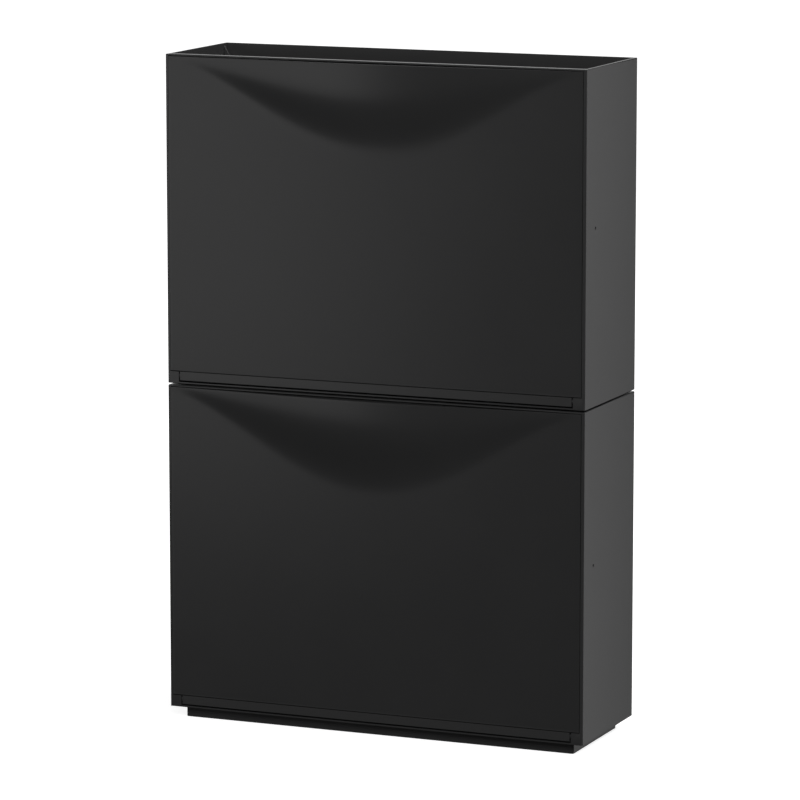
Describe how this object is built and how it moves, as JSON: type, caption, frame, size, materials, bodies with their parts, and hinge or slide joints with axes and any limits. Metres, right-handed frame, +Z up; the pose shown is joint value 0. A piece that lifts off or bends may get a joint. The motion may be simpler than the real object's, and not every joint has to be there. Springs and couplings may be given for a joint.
{
  "type": "shoe cabinet",
  "caption": "Slim shoe cabinet of stacked open-top shells, each with a tip-out front door that carries a shoe bin and has a flared pull lip.",
  "frame": {"origin": "on the floor, under the middle of the whole cabinet's box", "axes": "+Z up the cabinet, +Y from the doors to the back, +X to the right of someone facing the doors"},
  "size_m": [0.52, 0.1802, 0.7855],
  "materials": {
    "shell": "fine satin grain",
    "door_skin": "fine satin grain",
    "shell_inner": "matt",
    "bin_inner": "matt",
    "pin": "satin"
  },
  "bodies": {
    "root": {"lower_back_panel": "shell", "lower_base_tray": "shell", "lower_front_rail": "shell", "lower_left_side_panel": "shell", "lower_right_side_panel": "shell", "lower_left_stop_peg": "pin", "lower_right_stop_peg": "pin", "lower_left_corner_guide": "shell_inner", "lower_right_corner_guide": "shell_inner", "lower_left_stack_ledge": "shell_inner", "lower_right_stack_ledge": "shell_inner", "upper_back_panel": "shell", "upper_base_tray": "shell", "upper_front_rail": "shell", "upper_left_side_panel": "shell", "upper_right_side_panel": "shell", "upper_left_stop_peg": "pin", "upper_right_stop_peg": "pin", "upper_left_corner_guide": "shell_inner", "upper_right_corner_guide": "shell_inner", "upper_left_stack_ledge": "shell_inner", "upper_right_stack_ledge": "shell_inner"},
    "lower_bin": {"lower_door": "door_skin", "lower_bin_floor": "bin_inner", "lower_bin_back_rail": "bin_inner", "lower_left_cheek": "bin_inner", "lower_right_cheek": "bin_inner", "lower_left_pivot_pin": "pin", "lower_right_pivot_pin": "pin"},
    "upper_bin": {"upper_door": "door_skin", "upper_bin_floor": "bin_inner", "upper_bin_back_rail": "bin_inner", "upper_left_cheek": "bin_inner", "upper_right_cheek": "bin_inner", "upper_left_pivot_pin": "pin", "upper_right_pivot_pin": "pin"}
  },
  "joints": [
    {"name": "lower_door_tilt", "type": "hinge", "parent": "root", "child": "lower_bin", "pos_m": [0, -0.0721, 0.0227], "axis": [1, 0, 0], "range_deg": [0, 38]},
    {"name": "upper_door_tilt", "type": "hinge", "parent": "root", "child": "upper_bin", "pos_m": [0, -0.0721, 0.4097], "axis": [1, 0, 0], "range_deg": [0, 38]}
  ]
}
